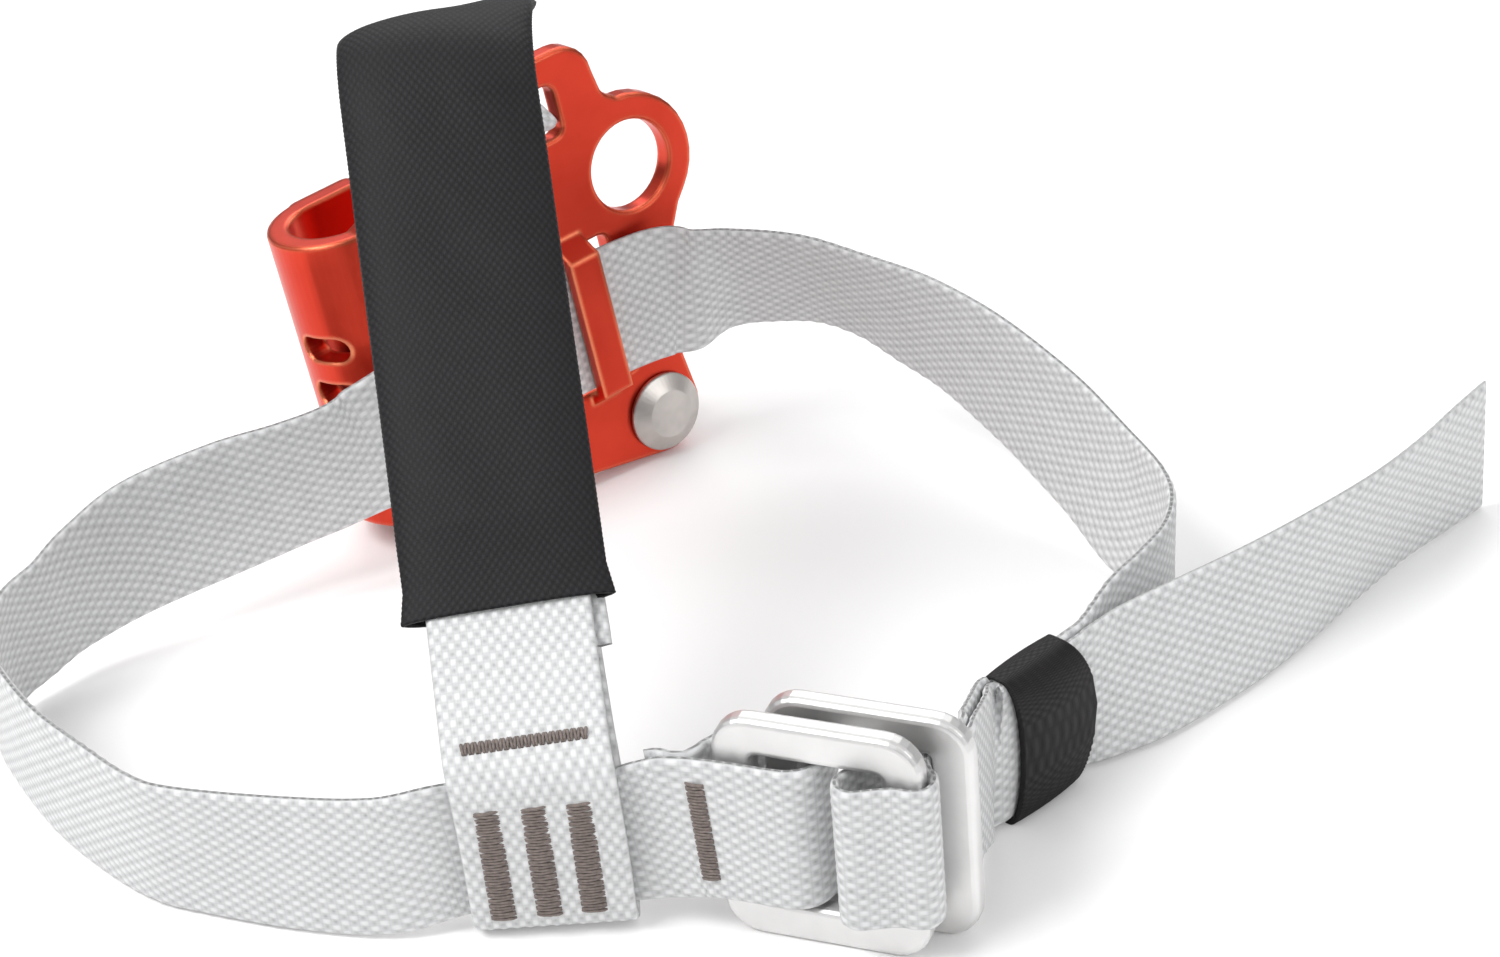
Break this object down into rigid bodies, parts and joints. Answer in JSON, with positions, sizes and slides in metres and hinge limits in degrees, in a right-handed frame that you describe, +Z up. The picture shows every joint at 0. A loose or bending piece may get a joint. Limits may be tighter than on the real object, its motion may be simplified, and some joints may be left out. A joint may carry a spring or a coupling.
{
  "type": "foot ascender",
  "caption": "Strap-on foot ascender: bent aluminium rope channel with sprung cam, webbing ankle loop, sleeved under-foot strap and double-ring buckle.",
  "frame": {"origin": "centre of the bounding box's footprint, at the height the part stands on", "axes": "+Z up as the part stands; +X towards the free end of the strap, -Y the side with the buckle"},
  "size_m": [0.254, 0.1754, 0.1089],
  "materials": {
    "anodised_red": "satin anodised",
    "stainless": "brushed",
    "spring_steel": "satin",
    "bush_polymer": "moulded",
    "grey_webbing": "woven nylon",
    "black_sleeve": "woven tubular nylon",
    "black_elastic": "ribbed elastic",
    "buckle_metal": "satin",
    "tack_thread": "bonded thread"
  },
  "bodies": {
    "frame": {"frame": "anodised_red", "pivot_rivet": "stainless", "plate_washer": "stainless", "tail_washer": "stainless", "stop_pin": "stainless", "pivot_bush": "bush_polymer", "cam_spring": "spring_steel", "strap_ring_loop": "grey_webbing", "strap_ankle_front": "grey_webbing", "strap_ankle_left": "grey_webbing", "strap_over_plate": "grey_webbing", "strap_ankle_right": "grey_webbing", "strap_return": "grey_webbing", "strap_in_buckle": "grey_webbing", "strap_tail": "grey_webbing", "sole_strap_joint": "grey_webbing", "sole_strap": "grey_webbing", "sole_sleeve": "black_sleeve", "joint_tack_left": "tack_thread", "joint_tack_middle": "tack_thread", "joint_tack_right": "tack_thread", "joint_tack_cross": "tack_thread", "loop_tack": "tack_thread"},
    "cam": {"cam": "stainless"},
    "keeper": {"keeper": "black_elastic"},
    "front_ring": {"buckle_front_ring": "buckle_metal"},
    "rear_ring": {"buckle_rear_ring": "buckle_metal"}
  },
  "joints": [
    {"name": "cam_pivot", "type": "hinge", "parent": "frame", "child": "cam", "pos_m": [-0.01395, 0.06858, 0.0089], "axis": [-0.572, 0.8127, -0.111], "range_deg": [0, 32], "stiffness_Nm_per_rad": 0.03, "springref_deg": -22.92, "deforming": ["cam_spring"]},
    {"name": "keeper_slide", "type": "slide", "parent": "frame", "child": "keeper", "axis": [0.7314, 0.682, 0], "range_m": [-0.002, 0.0015]},
    {"name": "front_ring_swing", "type": "hinge", "parent": "frame", "child": "front_ring", "pos_m": [-0.00507, -0.07311, 0.0195], "axis": [0, 0, -1], "range_deg": [0, 8], "deforming": ["strap_in_buckle"]},
    {"name": "rear_ring_swing", "type": "hinge", "parent": "frame", "child": "rear_ring", "pos_m": [0.00259, -0.06902, 0.0195], "axis": [0, 0, 1], "range_deg": [0, 6], "deforming": ["strap_in_buckle"]}
  ]
}
